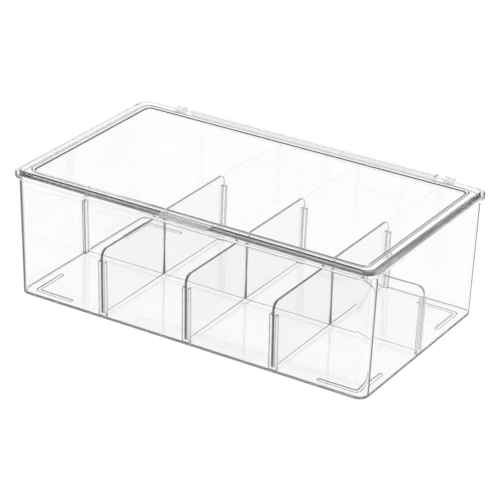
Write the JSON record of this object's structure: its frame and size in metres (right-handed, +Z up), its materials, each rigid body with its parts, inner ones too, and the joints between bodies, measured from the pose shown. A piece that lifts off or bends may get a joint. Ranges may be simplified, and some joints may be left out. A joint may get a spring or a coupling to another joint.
{
  "type": "tea bag organizer box",
  "caption": "Clear shallow rectangular box with a hinged, recessed lid, a front finger tab, and lift-out half-lapped dividers that sort wrapped tea bags into compartments.",
  "frame": {"origin": "on the table, under the middle of the whole box with its finger tab and hinge counted", "axes": "+X to the right along the front, +Y from the front with the finger tab to the hinge at the back, +Z up"},
  "size_m": [0.31, 0.1858, 0.103],
  "materials": {
    "clear_plastic": "clear, polished injection-moulded plastic"
  },
  "bodies": {
    "bin": {"bin": "clear_plastic"},
    "lid": {"lid": "clear_plastic"},
    "long_divider": {"long_divider": "clear_plastic"},
    "left_cross_divider": {"left_cross_divider": "clear_plastic"},
    "middle_cross_divider": {"middle_cross_divider": "clear_plastic"},
    "right_cross_divider": {"right_cross_divider": "clear_plastic"}
  },
  "joints": [
    {"name": "lid_hinge", "type": "hinge", "parent": "bin", "child": "lid", "pos_m": [0, 0.09034, 0.0997], "axis": [-1, 0, 0], "range_deg": [0, 110]},
    {"name": "long_divider_lift", "type": "slide", "parent": "bin", "child": "long_divider", "axis": [0, 0, 1], "range_m": [0, 0.012]},
    {"name": "left_cross_divider_lift", "type": "slide", "parent": "long_divider", "child": "left_cross_divider", "axis": [0, 0, 1], "range_m": [0, 0.029]},
    {"name": "middle_cross_divider_lift", "type": "slide", "parent": "long_divider", "child": "middle_cross_divider", "axis": [0, 0, 1], "range_m": [0, 0.029]},
    {"name": "right_cross_divider_lift", "type": "slide", "parent": "long_divider", "child": "right_cross_divider", "axis": [0, 0, 1], "range_m": [0, 0.029]}
  ]
}
